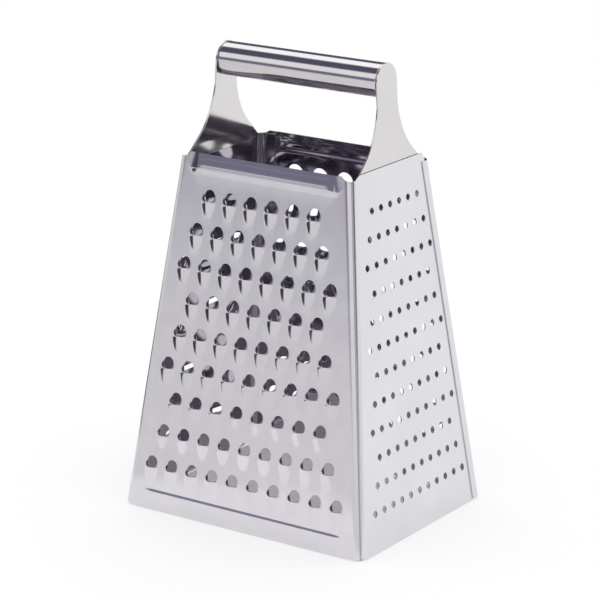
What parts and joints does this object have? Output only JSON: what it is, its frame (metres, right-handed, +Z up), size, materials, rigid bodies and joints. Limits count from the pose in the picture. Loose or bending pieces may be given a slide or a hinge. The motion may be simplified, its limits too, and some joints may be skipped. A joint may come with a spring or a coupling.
{
  "type": "box grater",
  "caption": "Steel box grater with coarse, extra coarse, fine and slicing faces lapped at the corners, and a polished tube handle carried by flared bracket plates.",
  "frame": {"origin": "on the table, under the middle of the body", "axes": "+Z up, -Y out of the coarse face, +X out of the fine face"},
  "size_m": [0.1258, 0.098, 0.2019],
  "materials": {
    "wide_panel_steel": "satin pressed sheet",
    "side_panel_steel": "satin pressed sheet",
    "bracket_steel": "bright satin plate",
    "tube_steel": "polished",
    "plug_steel": "plain pressed cup"
  },
  "bodies": {
    "root": {"front_panel": "wide_panel_steel", "back_panel": "wide_panel_steel", "right_panel": "side_panel_steel", "left_panel": "side_panel_steel", "right_bracket": "bracket_steel", "left_bracket": "bracket_steel", "handle_tube": "tube_steel", "right_tube_plug": "plug_steel", "left_tube_plug": "plug_steel"}
  },
  "joints": []
}
